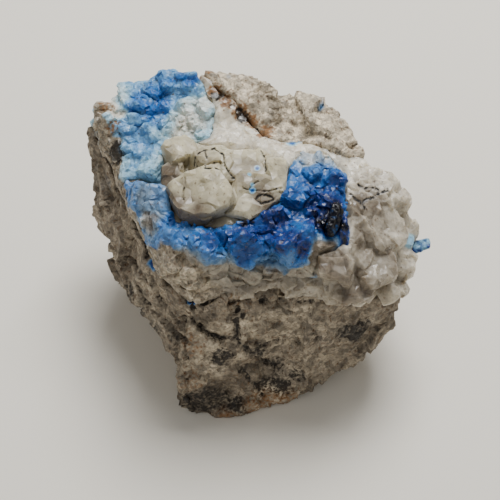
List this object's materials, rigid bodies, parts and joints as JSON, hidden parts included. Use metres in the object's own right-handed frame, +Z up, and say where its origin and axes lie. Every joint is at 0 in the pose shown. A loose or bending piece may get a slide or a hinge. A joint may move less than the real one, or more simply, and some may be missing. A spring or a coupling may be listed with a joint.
{
  "type": "mineral specimen",
  "caption": "Small hand specimen of linarite: blue crystal crusts and pale crystals in a quartz vein across the top of a rough, angular block of host rock.",
  "frame": {"origin": "middle of the specimen's outer box, on the flat broken face it stands on", "axes": "+Z up, the tall broken front face towards -Y, +X to the right along the widest side"},
  "size_m": [0.0394, 0.0314, 0.0278],
  "materials": {
    "host_rock": "rough grey-brown granular rock with dark and ochre stains",
    "vein_quartz": "milky, slightly translucent quartz",
    "pale_linarite": "sugary sky-blue crust with glassy grains",
    "deep_linarite": "deep azure, vitreous crystal crust",
    "cream_crystal": "translucent cream crystal, vitreous",
    "dark_linarite": "nearly black blue crystal, vitreous",
    "blade_linarite": "bright blue bladed crystal, vitreous"
  },
  "bodies": {
    "root": {"host_rock": "host_rock", "quartz_vein": "vein_quartz", "pale_linarite_crust": "pale_linarite", "deep_linarite_crust": "deep_linarite", "cream_crystals": "cream_crystal", "linarite_prism": "dark_linarite", "linarite_blade": "blade_linarite"}
  },
  "joints": []
}
